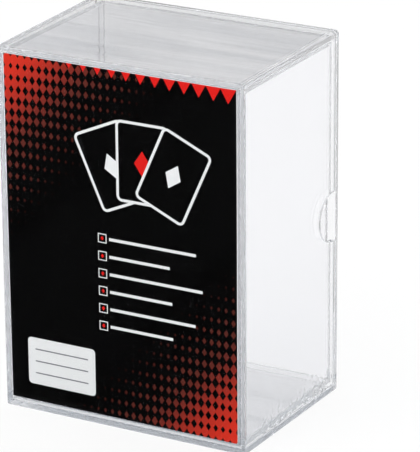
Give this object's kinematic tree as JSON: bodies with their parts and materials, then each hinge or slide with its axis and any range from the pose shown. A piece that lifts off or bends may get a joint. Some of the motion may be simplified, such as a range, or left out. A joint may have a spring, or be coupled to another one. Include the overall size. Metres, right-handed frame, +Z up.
{
  "type": "card storage box",
  "caption": "Clear two-piece box for trading cards: a cover with thumb notches slides over an open-fronted tray, with a printed card behind its front wall.",
  "frame": {"origin": "middle of the floor face under the box, halfway between its foremost and rearmost points", "axes": "+Z up along the box's 136 mm side, +Y from the cover's front wall towards the tray's base, +X to the right as seen from the front. The cover's lower side lies flat on z = 0, so the line along which the shells slide leans up by the moulding draft of 0.79 degrees."},
  "size_m": [0.1, 0.071, 0.1379],
  "materials": {
    "clear_cover": "clear injection-moulded polystyrene, polished",
    "clear_tray": "clear injection-moulded polystyrene, polished",
    "printed_card": "coated card, offset printed in black with a red fade and white lines"
  },
  "bodies": {
    "cover": {"cover": "clear_cover", "insert_card": "printed_card"},
    "tray": {"tray": "clear_tray"}
  },
  "joints": [
    {"name": "tray_slide", "type": "slide", "parent": "cover", "child": "tray", "axis": [0, 0.9999, 0.0138], "range_m": [0, 0.07]}
  ]
}
